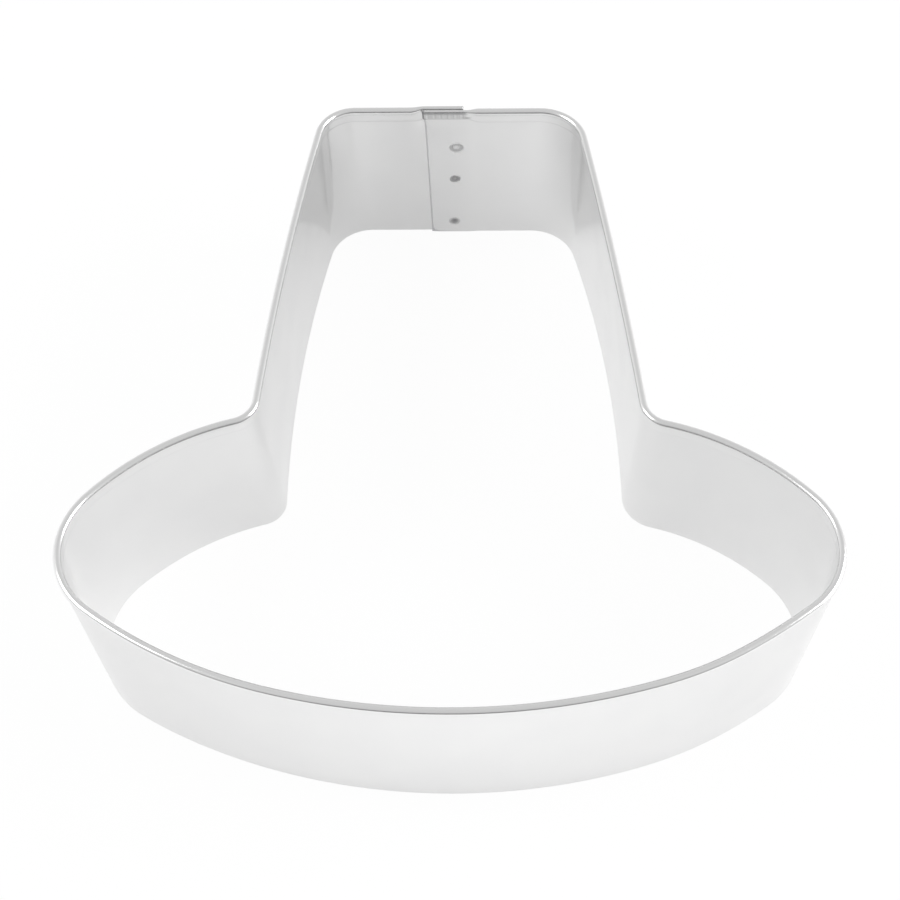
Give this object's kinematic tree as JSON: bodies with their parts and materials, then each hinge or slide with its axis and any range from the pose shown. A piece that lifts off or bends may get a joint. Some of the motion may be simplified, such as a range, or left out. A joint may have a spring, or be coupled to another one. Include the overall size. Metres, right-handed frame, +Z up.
{
  "type": "cookie cutter",
  "caption": "Hat-shaped cookie cutter: a hemmed tinplate strip bent to a tall-crowned, wide-brimmed hat outline, lapped and spot-welded at the top of the crown.",
  "frame": {"origin": "middle of the bounding box in plan, on the level of the cutting edge", "axes": "+Z up from the cutting edge to the hemmed rim, +X across the brim towards its right tip, +Y from the brim's front towards the top of the crown"},
  "size_m": [0.0892, 0.0884, 0.0254],
  "materials": {
    "tinplate": "bright tinplate, satin",
    "pressed_tinplate": "tinplate dulled by the welding electrodes"
  },
  "bodies": {
    "root": {"tinplate_strip": "tinplate", "spot_weld_upper": "pressed_tinplate", "spot_weld_middle": "pressed_tinplate", "spot_weld_lower": "pressed_tinplate"}
  },
  "joints": []
}
